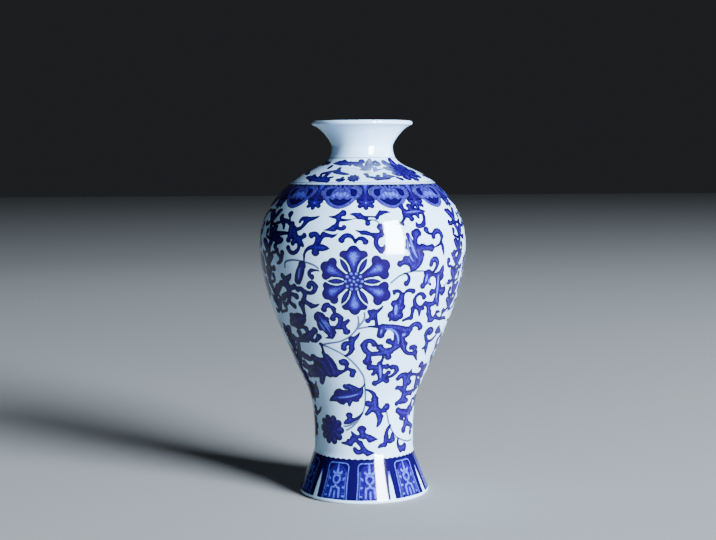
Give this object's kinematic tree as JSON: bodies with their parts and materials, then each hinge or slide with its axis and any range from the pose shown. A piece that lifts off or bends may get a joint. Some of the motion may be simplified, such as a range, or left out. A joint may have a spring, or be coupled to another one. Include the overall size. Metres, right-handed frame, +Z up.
{
  "type": "chinese vase",
  "caption": "Blue-and-white porcelain baluster vase with a trumpet mouth, high shoulders, a tapering belly and a splayed foot.",
  "frame": {"origin": "centre of the foot ring, on the plane that the vase stands on", "axes": "+Z up the vase's axis to the mouth; the big flower of the belly faces -Y"},
  "size_m": [0.166, 0.166, 0.3],
  "materials": {
    "glaze": "gloss",
    "foot": "gloss",
    "slip": "satin"
  },
  "bodies": {
    "root": {"mouth_and_neck": "glaze", "shoulder": "glaze", "upper_belly": "glaze", "lower_belly": "glaze", "waist": "glaze", "splayed_foot": "foot", "floor_disc": "foot", "neck_slip_seam": "slip", "shoulder_slip_seam": "slip", "belly_slip_seam": "slip", "flank_slip_seam": "slip", "foot_slip_seam": "slip", "floor_slip_fillet": "slip"}
  },
  "joints": []
}
